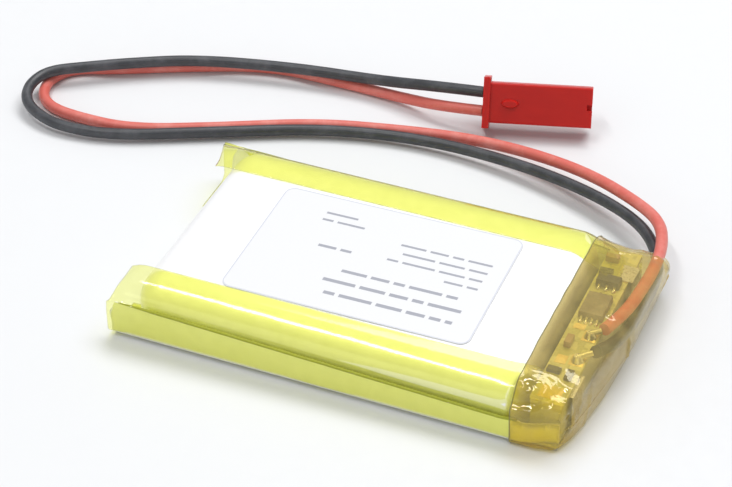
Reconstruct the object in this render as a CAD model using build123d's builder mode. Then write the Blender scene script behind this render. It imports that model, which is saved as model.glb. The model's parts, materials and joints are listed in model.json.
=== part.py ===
"""A single-cell lithium polymer pack: a soft pouch cell with a protection board on its sealed end,
edge tapes, an amber film wrap round the board, and two loose wires to a two-way crimp plug.

Millimetres. The origin is under the middle of the pack, on the surface it lies on. +X runs along the
cell to its board end, +Y to the side where the wires come out, and +Z up. The pack's middle leaves
out the wires and their plug.
"""

import os
from math import radians, tan

from build123d import *

os.makedirs("parts", exist_ok=True)

# Driving dimensions of the cell
film = 0.08  # edge tape, label and wrap
film_step = 0.10  # from one layer of film to the next
laminate = 0.15  # aluminium laminate of the pouch
pouch_bottom = 2 * film_step
pouch_top = 7.9
pouch_end = -26.6  # the folded end, away from the board
body_end = 22.6  # where the drawn body stops and the terrace starts
terrace_end = 26.8
terrace_top = 0.6
body_half_width = 16.45
seal_half_width = 16.9  # over the two side seals, which are folded up against the body
seal_thickness = 0.32
seal_top = 5.2
seal_overhang = 2.3  # of the seals past the folded end
seal_low_top = 4.3  # trimmed lower beside the terrace
shoulder_width = 4.45  # the drawn body's long top edges are flattened quarter ellipses
shoulder_height = 3.0

# Tapes, label and wrap
flap_end = -30.0  # the edge tapes overhang the folded end of the pouch
near_tape_edge = -12.3
far_tape_edge = 9.6
tape_under_edge = 10.5
wrap_start = 21.4
wrap_straight_end = 23.2
wrap_end = 29.35  # at the middle; the end is a little out of square
wrap_skew = 2.2  # degrees
wrap_end_top = 7.2
label_size = (31.0, 21.0)
label_middle = (-1.5, -1.35)
label_turn = 1.0

# Winding: real foils are far thinner, with about 25 turns
winding_turns = 3
winding_pitch = 0.80
electrode = 0.26
separator = 0.08
winding_gap = 0.03
winding_core = 0.33
winding_half_width = 12.6  # centre of the roll's round ends
winding_middle = 4.05

# Protection board and what is on it
board_start = 22.9
board_width = 4.0
board_length = 30.0
board_bottom = 5.3
board_top = 5.9
pad_height = 0.04

# Tabs
tab_thickness = 0.1
tab_width = 4.0
tab_side = 10.5  # each tab's distance from the middle
seal_film = 0.26
tab_level = 0.4
tab_fold = 27.3  # where the tabs turn up beside the board

# Wires: the control points of each route, from the board to the plug
wire_radius = 0.75
core_radius = 0.35
red_route = [
    (27.3, -1.4, 6.75),
    (28.4, 2.8, 6.3),
    (28.75, 8.0, 5.85),
    (28.9, 13.2, 5.6),
    (28.4, 18.3, 5.3),
    (26.7, 23.2, 4.9),
    (22.8, 27.0, 4.2),
    (15.0, 31.8, 3.3),
    (6.0, 34.9, 2.2),
    (-3.5, 36.3, 1.2),
    (-13.0, 35.1, 0.8),
    (-24.0, 32.3, 0.8),
    (-35.9, 26.3, 0.8),
    (-46.4, 21.6, 0.8),
    (-54.2, 21.4, 0.8),
    (-58.8, 22.1, 0.8),
    (-61.5, 24.4, 0.8),
    (-62.4, 28.3, 0.8),
    (-60.5, 31.9, 0.8),
    (-55.4, 33.7, 0.8),
    (-46.7, 38.1, 0.8),
    (-35.3, 42.9, 0.8),
    (-25.0, 42.8, 0.8),
    (-16.0, 42.4, 0.85),
    (-9.0, 40.2, 2.5),
]
black_route = [
    (27.6, -5.6, 6.75),
    (28.5, -1.6, 4.9),
    (28.6, 4.0, 3.9),
    (28.6, 9.8, 3.6),
    (28.5, 15.0, 3.4),
    (27.3, 20.0, 3.2),
    (23.4, 25.1, 2.9),
    (15.5, 29.3, 2.5),
    (4.5, 32.6, 1.8),
    (-9.0, 33.9, 1.2),
    (-22.5, 31.1, 1.1),
    (-36.5, 24.3, 1.15),
    (-48.0, 18.9, 1.1),
    (-55.5, 18.1, 1.2),
    (-59.7, 19.4, 1.5),
    (-62.3, 21.4, 1.8),
    (-63.3, 24.6, 2.1),
    (-62.2, 27.9, 2.4),
    (-58.1, 30.6, 2.4),
    (-52.9, 33.9, 2.35),
    (-44.5, 38.4, 2.3),
    (-31.0, 41.6, 2.35),
    (-18.5, 42.9, 2.5),
    (-9.4, 41.4, 4.8),
]

# Plug: a two-way crimp housing that lies on its lower long edge, its broad face turned up
plug_length = 13.6  # without the flange
plug_width = 5.4
plug_thickness = 3.5
flange_length = 0.9
flange_width = 6.8
flange_thickness = 4.3
cavity_pitch = 2.5
cavity = 1.8
socket_depth = 6.5
plug_tilt = 60.0
plug_heading = 16.6
plug_middle = (4.0, 43.5, 4.03)

plug_x = Vector(1, 0, 0).rotate(Axis.Z, plug_heading)
plug_z = Vector(0, 0, 1).rotate(Axis(origin=(0, 0, 0), direction=plug_x), plug_tilt)
plug_plane = Plane(origin=plug_middle, x_dir=plug_x, z_dir=plug_z)
plug_rear = -plug_length / 2 - flange_length


def save(piece, label):
    """Names a finished piece and writes it as its own STEP file."""
    piece.part.label = label
    export_step(piece.part, f"parts/{label}.step")


def cell_section(half_width, seal, top, bottom, grow):
    """The cell's outline across its length, over the folded seals, grown all round by one amount."""
    shoulder_y, shoulder_z = half_width - shoulder_width, top - shoulder_height
    heel = 0.9
    with BuildSketch() as section:
        with BuildLine():
            Line((0, top + grow), (shoulder_y, top + grow))
            shoulder = EllipticalCenterArc(
                (shoulder_y, shoulder_z), shoulder_width + grow, shoulder_height + grow, start_angle=10, arc_size=80
            )
            Line(shoulder @ 0, (seal + grow, shoulder_z + 0.4))
            Line((seal + grow, shoulder_z + 0.4), (seal + grow, bottom + heel))
            CenterArc((seal - heel, bottom + heel), heel + grow, 0, -90)
            Line((seal - heel, bottom - grow), (0, bottom - grow))
            mirror(about=Plane.YZ)
        make_face()
    return section.sketch


def cell_body(inset):
    """The drawn body as a closed solid, all its faces moved inwards by inset."""
    half, top, bottom = body_half_width - inset, pouch_top - inset, pouch_bottom + inset
    start, end = pouch_end + inset, body_end - inset
    wide, high = shoulder_width - inset, shoulder_height - inset
    heel = 0.6
    with BuildPart() as body:
        with BuildSketch(Plane.YZ.offset(start)):
            with BuildLine():
                Line((0, top), (half - wide, top))
                EllipticalCenterArc((half - wide, top - high), wide, high, start_angle=0, arc_size=90)
                Line((half, top - high), (half, bottom + heel))
                CenterArc((half - heel, bottom + heel), heel, 0, -90)
                Line((half - heel, bottom), (0, bottom))
                mirror(about=Plane.YZ)
            make_face()
        extrude(amount=end - start)
        with BuildSketch(Plane.XZ.offset(-half)):
            with BuildLine():
                nose = CenterArc((start + high, top - high), high, 90, 90)
                fold = CenterArc((start + 1.2, bottom + 1.2), 1.2, 180, 90)
                brow = CenterArc((end - 2.0, top - 2.0), 2.0, 0, 90)
                Line(nose @ 1, fold @ 0)
                Line(fold @ 1, (end, bottom))
                Line((end, bottom), brow @ 0)
                Line(brow @ 1, nose @ 0)
            make_face()
        extrude(amount=2 * half, mode=Mode.INTERSECT)
        with BuildSketch(Plane.XY.offset(bottom)):
            with Locations(((start + end) / 2, 0)):
                RectangleRounded(end - start, 2 * half, 2.2)
        extrude(amount=top - bottom, mode=Mode.INTERSECT)
    return body.part


def bent_strip(points, y, width):
    """A metal strip of tab_thickness, bent along points in X and Z."""
    with BuildPart() as strip:
        with BuildSketch(Plane.XZ.offset(-y - width / 2)):
            with BuildLine():
                bend = Polyline(*points)
            trace(bend, line_width=tab_thickness)
        extrude(amount=width)
    return strip


def bend_radii(route):
    """The largest arcs that the runs of a route leave room for, one at each inner point."""
    points = [Vector(*p) for p in route]
    radii = []
    for before, corner, after in zip(points, points[1:], points[2:]):
        coming, going = corner - before, after - corner
        half_turn = radians(coming.get_angle(going)) / 2
        radii.append(0.45 * min(coming.length, going.length) / tan(half_turn))
    return radii


def tube(route, radius):
    """A round tube along straight runs joined by tangent arcs."""
    with BuildPart() as cord:
        with BuildLine():
            path = FilletPolyline(*route, radius=bend_radii(route))
        with BuildSketch(Plane(origin=path @ 0, z_dir=path % 0)):
            Circle(radius)
        sweep(path=path)
    return cord


def plug_entry(side):
    """Where a wire meets the plug's rear face. side is +1 for the upper cavity and -1 for the lower."""
    return tuple(plug_plane.from_local_coords(Vector(plug_rear, side * cavity_pitch / 2, 0)))


red_route.append(plug_entry(-1))
black_route.append(plug_entry(1))

# The pouch: one sheet of laminate, folded at one end, drawn into a body, sealed on three sides
tab_slot = (body_end - laminate, terrace_end)
body_solid = cell_body(0)
cavity_solid = cell_body(laminate)
with BuildPart() as pouch:
    add(body_solid)
    with BuildSketch(Plane.YZ.offset(pouch_end - seal_overhang)):
        with BuildLine():
            outside = CenterArc((seal_half_width - 0.9, pouch_bottom + 0.9), 0.9, 0, -90)
            Line((seal_half_width, pouch_bottom + 0.9), (seal_half_width, seal_top))
            Line((seal_half_width, seal_top), (seal_half_width - seal_thickness, seal_top))
            Line((seal_half_width - seal_thickness, seal_top), (seal_half_width - seal_thickness, 0.9))
            Line((seal_half_width - seal_thickness, 0.9), (body_half_width - 0.3, 0.5))
            Line((body_half_width - 0.3, 0.5), (seal_half_width - 0.9, 0.5))
            Line((seal_half_width - 0.9, 0.5), outside @ 1)
        make_face()
        mirror(about=Plane.YZ)
    extrude(amount=terrace_end - pouch_end + seal_overhang)
    with BuildSketch(Plane.XY.offset(seal_low_top)):
        with Locations((body_end + 5.0, 0)):
            Rectangle(10.0, 40.0)
    extrude(amount=5.0, mode=Mode.SUBTRACT)
    with BuildSketch(Plane.XY.offset(pouch_bottom)):
        with Locations(((body_end + terrace_end) / 2 - 0.5, 0)):
            Rectangle(terrace_end - body_end + 1.0, 2 * (seal_half_width - 0.9))
    extrude(amount=terrace_top - pouch_bottom)
    add(cavity_solid, mode=Mode.SUBTRACT)
    for side in (-1, 1):
        with BuildSketch(Plane.YZ.offset(tab_slot[0])):
            with Locations((side * tab_side, tab_level)):
                Rectangle(tab_width + 1.0, seal_film)
        extrude(amount=terrace_end - tab_slot[0], mode=Mode.SUBTRACT)
save(pouch, "pouch")


def wound_sheet(inner, thickness, start, end):
    """One sheet of the flat winding. inner is how far it lies outside the winding's core."""
    def edges(extra):
        """The points and arc middles of one face of the sheet, from the core outwards."""
        path = []
        for half_turn in range(2 * winding_turns):
            radius = winding_core + inner + extra + half_turn * winding_pitch / 2
            right = half_turn % 2 == 0
            side = winding_half_width if right else -winding_half_width
            middle = winding_middle if right else winding_middle - winding_pitch / 2
            low, high = (side, middle - radius), (side, middle + radius)
            tip = (side + radius if right else side - radius, middle)
            path.append((low, tip, high) if right else (high, tip, low))
        return path

    inner_face, outer_face = edges(0), edges(thickness)
    tail = 4.0
    with BuildPart() as sheet:
        with BuildSketch(Plane.YZ.offset(start)):
            with BuildLine():
                for face in (inner_face, outer_face):
                    Line((-tail, face[0][0][1]), face[0][0])
                    for arc, following in zip(face, face[1:] + [None]):
                        ThreePointArc(*arc)
                        last = following[0] if following else (tail, arc[2][1])
                        Line(arc[2], last)
                Line((-tail, inner_face[0][0][1]), (-tail, outer_face[0][0][1]))
                Line((tail, inner_face[-1][2][1]), (tail, outer_face[-1][2][1]))
            make_face()
        extrude(amount=end - start)
    return sheet


layers = [
    ("separator_inner", separator, 0.0),
    ("anode_sheet", electrode, 0.5),
    ("separator_outer", separator, 0.0),
    ("cathode_sheet", electrode, 1.0),
]
depth = 0.0
for label, thickness, set_back in layers:
    save(wound_sheet(depth, thickness, pouch_end + 1.2 + set_back, body_end - 1.6 - set_back), label)
    depth += thickness + winding_gap

with BuildPart() as roll_end_tape:
    with BuildSketch(Plane.XY.offset(pouch_top - laminate - 0.12)):
        Rectangle(12.0, 16.0)
    extrude(amount=0.06)
save(roll_end_tape, "roll_end_tape")

# Tabs from the winding through the top seal, folded up beside the board
tab_start = [(body_end - 1.5, winding_middle), (body_end - 0.7, winding_middle), (body_end - 0.7, tab_level)]
tab_rise = tab_start + [(tab_fold, tab_level)]
tab_ends = {
    "positive_tab": (tab_side, [(tab_fold, board_bottom - 0.7)]),
    "negative_tab": (-tab_side, [(tab_fold, board_bottom - 0.05), (tab_fold - 1.6, board_bottom - 0.05)]),
}
for label, (side, ending) in tab_ends.items():
    save(bent_strip(tab_rise + ending, side, tab_width), label)
    with BuildPart() as film_seal:
        with BuildSketch(Plane.YZ.offset(tab_slot[0])):
            with Locations((side, tab_level)):
                Rectangle(tab_width + 1.0, seal_film)
                Rectangle(tab_width, tab_thickness, mode=Mode.SUBTRACT)
        extrude(amount=terrace_end - tab_slot[0])
    save(film_seal, f"{label}_film")

link_x = tab_fold + tab_thickness + 0.01
link_z = board_top + pad_height + tab_thickness / 2 + 0.01
save(bent_strip([(link_x, 2.6), (link_x, link_z), (link_x - 2.0, link_z)], tab_side, 3.0), "nickel_link")

# Protection board on its foam block, above the terrace
board_middle = board_start + board_width / 2
with BuildPart() as foam_block:
    with BuildSketch(Plane.XY.offset(terrace_top)):
        with Locations((board_middle - 0.1, 0)):
            Rectangle(board_width - 0.3, board_length - 1.0)
    extrude(amount=board_bottom - tab_thickness - terrace_top)
save(foam_block, "foam_block")

with BuildPart() as protection_board:
    with BuildSketch(Plane.XY.offset(board_bottom)):
        with Locations((board_middle, 0)):
            RectangleRounded(board_width, board_length, 0.4)
    extrude(amount=board_top - board_bottom)
save(protection_board, "protection_board")

pads = [  # x and y of the middle, and the two sizes
    (25.9, -2.3, 1.7, 1.9),
    (25.9, -6.9, 1.7, 1.9),
    (24.2, -0.95, 1.4, 1.0),
    (24.1, -7.3, 1.3, 1.5),
    (26.1, 10.5, 1.6, 3.2),
    (24.9, -13.2, 2.6, 2.2),
]
with BuildPart() as board_pads:
    for x, y, along, across in pads:
        with BuildSketch(Plane.XY.offset(board_top)):
            with Locations((x, y)):
                Rectangle(along, across)
        extrude(amount=pad_height)
save(board_pads, "board_pads")


def leaded_chip(label, middle, body, leads, pitch, reach):
    """A moulded chip with gull-wing leads along both of its Y sides, as two nodes."""
    x, y = middle
    length, width, height = body
    stand = 0.1
    with BuildPart() as chip:
        with BuildSketch(Plane.XY.offset(board_top + stand)):
            with Locations((x, y)):
                Rectangle(length, width)
        extrude(amount=height, taper=4)
    save(chip, label)
    with BuildPart() as pins:
        for side in (-1, 1):
            for number in range(leads):
                lead_x = x + (number - (leads - 1) / 2) * pitch
                wall = y + side * width / 2
                low = board_top + pad_height
                knee = low + 0.45 * height
                with BuildSketch(Plane.YZ.offset(lead_x - 0.12)):
                    with BuildLine():
                        lead = Polyline(
                            (wall + side * 0.01, knee),
                            (wall + side * 0.3 * reach, knee),
                            (wall + side * 0.5 * reach, low + 0.06),
                            (wall + side * reach, low + 0.06),
                        )
                    trace(lead, line_width=0.12)
                extrude(amount=0.24)
    save(pins, f"{label}_leads")


leaded_chip("mosfet_pair", (24.9, 2.7), (3.0, 4.2, 0.85), 4, 0.65, 0.85)
leaded_chip("protection_chip", (24.9, 7.75), (2.9, 1.5, 0.95), 3, 0.95, 0.45)

small_parts = {
    "chip_resistors": (0.45, [(24.0, -9.6, 0), (25.9, -9.9, 90), (23.9, 9.9, 0)]),
    "chip_capacitors": (0.80, [(24.0, -4.3, 90), (23.9, 12.4, 0)]),
}
for label, (height, places) in small_parts.items():
    with BuildPart() as chips:
        for x, y, turn in places:
            with BuildSketch(Plane.XY.offset(board_top + 0.02)):
                with Locations(Location((x, y, 0), (0, 0, turn))):
                    Rectangle(1.6, 0.8)
            extrude(amount=height)
    save(chips, label)

# Stripped wire ends and their solder joints on the two output pads
joints = {"red": (red_route, (25.9, -2.3)), "black": (black_route, (25.9, -6.9))}
for colour, (route, (pad_x, pad_y)) in joints.items():
    insulation_end = Vector(*route[0])
    pad_point = Vector(pad_x, pad_y, board_top + pad_height + 0.45)
    along = (pad_point - insulation_end).normalized()
    with BuildPart() as stripped_end:
        with BuildSketch(Plane(origin=insulation_end + along * core_radius, z_dir=along)):
            Circle(core_radius)
        extrude(amount=(pad_point - insulation_end).length - core_radius)
    with BuildPart() as solder_joint:
        with BuildSketch(Plane.XY.offset(board_top + pad_height)):
            with Locations((pad_x, pad_y)):
                Circle(0.78)
        extrude(amount=0.75, taper=25)
        add(stripped_end.part, mode=Mode.SUBTRACT)
    save(stripped_end, f"{colour}_stripped_end")
    save(solder_joint, f"{colour}_solder_joint")

# Wires and their routes
for colour, route in (("red", red_route), ("black", black_route)):
    wire = tube(route, wire_radius)
    save(wire, f"{colour}_wire")
    radii = bend_radii(route)
    print(f"{colour}_wire radii", [round(r, 1) for r in radii], "smallest", round(min(radii), 1))
    print(f"{colour}_wire length", round(wire.part.volume / (3.14159 * wire_radius**2), 1))

# Edge tapes: each runs from the top, down the folded seal and under the pack, past the folded end
whole_cell = (body_half_width, seal_half_width, pouch_top, pouch_bottom)
tape_outside = cell_section(*whole_cell, film_step)
tape_inside = cell_section(*whole_cell, film_step - film)
tape_middle = (pouch_top + film_step) / 2
beyond = 20.0  # clear of the pack all round
edge_tapes = (("near_edge_tape", -near_tape_edge, True), ("far_edge_tape", far_tape_edge, False))
for label, top_edge, mirrored in edge_tapes:
    with BuildSketch() as kept:
        for edge, low, high in ((top_edge, tape_middle, beyond), (tape_under_edge, -beyond, tape_middle)):
            with Locations(((edge + beyond) / 2, (low + high) / 2)):
                Rectangle(beyond - edge, high - low)
    with BuildSketch() as beside_terrace:
        with Locations((0, seal_low_top - beyond / 2)):
            Rectangle(2 * beyond, beyond)
    with BuildPart() as edge_tape:
        with BuildSketch(Plane.YZ.offset(flap_end)):
            add(tape_outside)
            add(tape_inside, mode=Mode.SUBTRACT)
            add(kept.sketch, mode=Mode.INTERSECT)
        extrude(amount=body_end - flap_end)
        with BuildSketch(Plane.YZ.offset(body_end)):
            add(tape_outside)
            add(tape_inside, mode=Mode.SUBTRACT)
            add(kept.sketch, mode=Mode.INTERSECT)
            add(beside_terrace.sketch, mode=Mode.INTERSECT)
        extrude(amount=terrace_end - body_end)
        if mirrored:
            mirror(about=Plane.XZ, mode=Mode.REPLACE)
    save(edge_tape, label)

with BuildPart() as label_sheet:
    with BuildSketch(Plane.XY.offset(pouch_top + 0.01)):
        with Locations(Location((*label_middle, 0), (0, 0, label_turn))):
            RectangleRounded(*label_size, 1.3)
    extrude(amount=film)
save(label_sheet, "label")


def wrap_solid(grow, end_shift, start):
    """The wrap's outside or inside as a closed solid that narrows towards its end."""
    whole = cell_section(*whole_cell, grow)
    narrow = cell_section(body_half_width, seal_half_width, wrap_end_top, pouch_bottom, grow)
    across = Vector(0, 1, 0).rotate(Axis.Z, -wrap_skew)
    outwards = Vector(1, 0, 0).rotate(Axis.Z, -wrap_skew)
    with BuildPart() as solid:
        with BuildSketch(Plane.YZ.offset(start)):
            add(whole)
        extrude(amount=wrap_straight_end - start)
        with BuildSketch(Plane.YZ.offset(wrap_straight_end)):
            add(whole)
        with BuildSketch(Plane(origin=(wrap_end + end_shift, 0, 0), x_dir=across, z_dir=outwards)):
            add(narrow)
        loft(ruled=True)
    return solid.part


wrap_outside = wrap_solid(2 * film_step, 0, wrap_start)
wrap_inside = wrap_solid(2 * film_step - film, -film, wrap_start - 1)
exits = [tube(route[:7], wire_radius + 0.05).part for route in (red_route, black_route)]
with BuildPart() as amber_wrap:
    add(wrap_outside)
    add(wrap_inside, mode=Mode.SUBTRACT)
    add(exits, mode=Mode.SUBTRACT)
save(amber_wrap, "amber_wrap")

# The plug's housing: a socket in front, two crimp cavities behind it, and a locking bump on top
with BuildPart(plug_plane) as plug_housing:
    Box(plug_length, plug_width, plug_thickness)
    fillet(plug_housing.edges().filter_by(lambda e: abs(e.tangent_at(0).dot(plug_x)) > 0.9), 0.3)
    with Locations((plug_rear + flange_length / 2, 0, 0)):
        Box(flange_length, flange_width, flange_thickness)
    with BuildSketch(plug_plane.offset(plug_thickness / 2)):
        with Locations((-plug_length / 2 + 2.7, 0)):
            Ellipse(1.15, 0.6)
    extrude(amount=0.4, taper=20)
    with Locations(((plug_length - socket_depth) / 2, 0, 0)):
        Box(socket_depth, plug_width - 1.1, plug_thickness - 1.1, mode=Mode.SUBTRACT)
    for side in (-1, 1):
        with Locations((plug_rear / 2, side * cavity_pitch / 2, 0)):
            Box(-plug_rear + 1.0, cavity, cavity, mode=Mode.SUBTRACT)
        with Locations((-1.6, side * cavity_pitch / 2, -plug_thickness / 2)):
            Box(2.2, 1.0, 2.0, mode=Mode.SUBTRACT)
    with Locations((plug_length / 2, 0, plug_thickness / 2)):
        Box(1.4, 0.8, 1.4, mode=Mode.SUBTRACT)
save(plug_housing, "plug_housing")

for colour, side in (("red", -1), ("black", 1)):
    with BuildPart(plug_plane) as contact:
        lane = side * cavity_pitch / 2
        with Locations((plug_rear + 0.4 + 2.0, lane, 0)):
            Cylinder(0.7, 4.0, rotation=(0, 90, 0))
        with Locations((plug_rear + 4.4 + 2.0, lane, 0)):
            Box(4.1, 1.3, 1.3)
        with Locations((plug_rear + 8.4 + 2.2, lane, 0)):
            Cylinder(0.45, 4.8, rotation=(0, 90, 0))
    save(contact, f"{colour}_contact")
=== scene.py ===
"""The looks of a lithium polymer pack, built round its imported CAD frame.

Shapes are worked out in millimetres in the frame's own axes, +X to the board end, +Y to the wires'
side, +Z up, and become metres when a mesh is made.
"""

import json
from math import cos, exp, pi, radians, sin

import bmesh
import bpy
from mathutils import Matrix, Vector, noise


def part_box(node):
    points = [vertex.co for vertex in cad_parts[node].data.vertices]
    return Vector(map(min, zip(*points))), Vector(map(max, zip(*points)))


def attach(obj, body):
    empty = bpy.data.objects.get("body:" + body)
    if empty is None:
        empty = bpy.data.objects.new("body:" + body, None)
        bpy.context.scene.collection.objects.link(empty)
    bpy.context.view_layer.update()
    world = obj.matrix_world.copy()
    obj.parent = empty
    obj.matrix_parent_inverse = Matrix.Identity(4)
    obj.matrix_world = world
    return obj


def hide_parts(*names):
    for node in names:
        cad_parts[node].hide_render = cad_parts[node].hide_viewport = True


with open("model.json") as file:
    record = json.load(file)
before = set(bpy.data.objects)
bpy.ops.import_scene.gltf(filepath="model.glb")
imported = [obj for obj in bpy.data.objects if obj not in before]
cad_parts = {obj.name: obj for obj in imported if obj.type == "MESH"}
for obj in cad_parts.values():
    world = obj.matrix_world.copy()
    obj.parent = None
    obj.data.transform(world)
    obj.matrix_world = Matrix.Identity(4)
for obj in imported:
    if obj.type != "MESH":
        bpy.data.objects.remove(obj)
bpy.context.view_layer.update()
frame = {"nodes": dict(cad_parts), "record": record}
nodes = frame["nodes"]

MM = 0.001
scene = bpy.context.scene


def cad_box(node):
    """Lowest and highest corner of a CAD node, in millimetres."""
    low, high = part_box(node)
    return low / MM, high / MM


def name_of_cad(node):
    """Frees a CAD node's object name for the piece that stands for it, and gives that name."""
    nodes[node].name = f"{node}_solid"
    return node


# ---------------------------------------------------------------- camera

camera_data = bpy.data.cameras.new("camera")
camera_data.sensor_width = 36.0
camera_data.lens = 113.1
camera = bpy.data.objects.new("camera", camera_data)
scene.collection.objects.link(camera)
scene.camera = camera

camera_place = (0.08152, -0.20042, 0.17598)
azimuth, elevation, roll = radians(22.89), radians(37.44), radians(-0.29)
backwards = Vector((sin(azimuth) * cos(elevation), -cos(azimuth) * cos(elevation), sin(elevation)))
level_right = (-backwards).cross(Vector((0, 0, 1))).normalized()
level_up = level_right.cross(-backwards)
right = cos(roll) * level_right + sin(roll) * level_up
up = cos(roll) * level_up - sin(roll) * level_right
turned_camera = Matrix((right, up, backwards)).transposed().to_4x4()
camera.matrix_world = Matrix.Translation(camera_place) @ turned_camera

# ---------------------------------------------------------------- node graphs


class Graph:
    """A material and its nodes, added and linked by short calls."""

    def __init__(self, name):
        self.material = bpy.data.materials.new(name)
        self.material.use_nodes = True
        self.tree = self.material.node_tree
        self.tree.nodes.clear()
        self.place = self.add("ShaderNodeTexCoord").outputs["Object"]

    def add(self, kind, values=None, **settings):
        """A node of a kind. values sets or links its inputs, and settings its other properties."""
        node = self.tree.nodes.new(kind)
        for setting, value in settings.items():
            setattr(node, setting, value)
        for socket, value in (values or {}).items():
            if isinstance(value, bpy.types.NodeSocket):
                self.tree.links.new(value, node.inputs[socket])
            else:
                node.inputs[socket].default_value = value
        return node

    def stretched(self, x, y, z):
        """The object's coordinates, scaled by three numbers."""
        return self.add("ShaderNodeMapping", {"Vector": self.place, "Scale": (x, y, z)}).outputs[0]

    def noise(self, size, detail=3.0, stretch=(1, 1, 1), roughness=0.5):
        """Noise whose grains are about size millimetres across."""
        values = {
            "Vector": self.stretched(*stretch),
            "Scale": 1 / (size * MM),
            "Detail": detail,
            "Roughness": roughness,
        }
        return self.add("ShaderNodeTexNoise", values).outputs["Fac"]

    def spread(self, value, low, high, from_low=0.3, from_high=0.7):
        """A value mapped from its own range, which for noise is about 0.3 to 0.7, to low to high."""
        values = {0: value, 1: from_low, 2: from_high, 3: low, 4: high}
        return self.add("ShaderNodeMapRange", values).outputs[0]

    def mixed(self, share, first, second):
        """A colour between two, by a share from 0 to 1."""
        mix = self.add("ShaderNodeMix", data_type="RGBA")
        for socket, value in zip((0, 6, 7), (share, first, second)):
            if isinstance(value, bpy.types.NodeSocket):
                self.tree.links.new(value, mix.inputs[socket])
            else:
                mix.inputs[socket].default_value = value
        return mix.outputs[2]

    def bump(self, height, depth, below=None):
        """Normals of a bump depth millimetres deep, on top of another bump if one is given."""
        values = {"Height": height, "Distance": depth * MM, "Strength": 1.0}
        if below is not None:
            values["Normal"] = below
        return self.add("ShaderNodeBump", values).outputs[0]

    def blend(self, share, first, second):
        """A shader between two, by a share from 0 to 1."""
        return self.add("ShaderNodeMixShader", {0: share, 1: first.outputs[0], 2: second.outputs[0]})

    def edge_on(self, normal, facing_share):
        """How much a clear surface reflects: facing_share seen square on, rising to all of it edge on."""
        turned = self.add("ShaderNodeLayerWeight", {"Blend": 0.5, "Normal": normal}).outputs["Facing"]
        steep = self.add("ShaderNodeMath", {0: turned, 1: 5.0}, operation="POWER").outputs[0]
        return self.spread(steep, facing_share, 1.0, 0.0, 1.0)

    def finish(self, shader):
        """Links the last shader to the output, and gives the material."""
        self.add("ShaderNodeOutputMaterial", {"Surface": shader.outputs[0]})
        return self.material


def colour(red, green, blue):
    """A node's colour, from linear values."""
    return (red, green, blue, 1.0)


def solid_material(name, tone, variation, roughness, metallic=0.0, grain=0.6, depth=0.01, **sockets):
    """A solid material with mottled colour, uneven roughness and a fine grain."""
    graph = Graph(name)
    mottle = graph.noise(grain * 4)
    darker = colour(*(channel * (1 - variation) for channel in tone))
    fine = graph.noise(grain)
    values = {
        "Base Color": graph.mixed(mottle, darker, colour(*tone)),
        "Roughness": graph.spread(fine, roughness * 0.8, roughness * 1.2),
        "Normal": graph.bump(fine, depth),
        "Metallic": metallic,
    }
    values.update(sockets)
    return graph.finish(graph.add("ShaderNodeBsdfPrincipled", values))


def film_material(name, tint, haze, haze_share, roughness, creases, lapped=None):
    """Clear tinted film. tint is what one surface lets through, haze its faint milky body.

    creases is the depth of its soft creases in millimetres, and lapped the deeper tint along the
    near side, where the film's turns lie on each other.
    """
    graph = Graph(name)
    ripple = graph.noise(2.2, 4.0)
    fine = graph.noise(0.35, 3.0)
    normal = graph.bump(fine, 0.006, graph.bump(ripple, creases))
    shade = colour(*tint)
    if lapped:
        lapped_to, lap_fades_at = -15.6 * MM, -13.8 * MM
        across = graph.add("ShaderNodeSeparateXYZ", {0: graph.place}).outputs["Y"]
        lap = graph.spread(across, 1.0, 0.0, lapped_to, lap_fades_at)
        shade = graph.mixed(lap, shade, colour(*lapped))
    clear = graph.add("ShaderNodeBsdfTransparent", {"Color": shade})
    milky = graph.add("ShaderNodeBsdfDiffuse", {"Color": colour(*haze), "Normal": normal})
    body = graph.blend(graph.spread(ripple, haze_share * 0.6, haze_share * 1.4), clear, milky)
    gloss = graph.add(
        "ShaderNodeBsdfGlossy",
        {"Roughness": graph.spread(fine, roughness * 0.7, roughness * 1.3), "Normal": normal},
    )
    return graph.finish(graph.blend(graph.edge_on(normal, 0.05), body, gloss))


def wire_material(name, tone, scuffed_tone):
    """Extruded insulation: satin, with faint streaks and dull scuffs."""
    graph = Graph(name)
    scuffs = graph.noise(3.0, 6.0, roughness=0.7)
    grain = graph.noise(0.25, 2.0)
    scuffed = graph.spread(scuffs, 0.0, 1.0, 0.45, 0.75)
    values = {
        "Base Color": graph.mixed(scuffed, colour(*tone), colour(*scuffed_tone)),
        "Roughness": graph.spread(scuffs, 0.36, 0.5),
        "Normal": graph.bump(grain, 0.008),
        "Specular IOR Level": 0.6,
        "Subsurface Weight": 0.06,
        "Subsurface Radius": (0.8, 0.2, 0.1),
        "Subsurface Scale": 0.0006,
    }
    return graph.finish(graph.add("ShaderNodeBsdfPrincipled", values))


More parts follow.
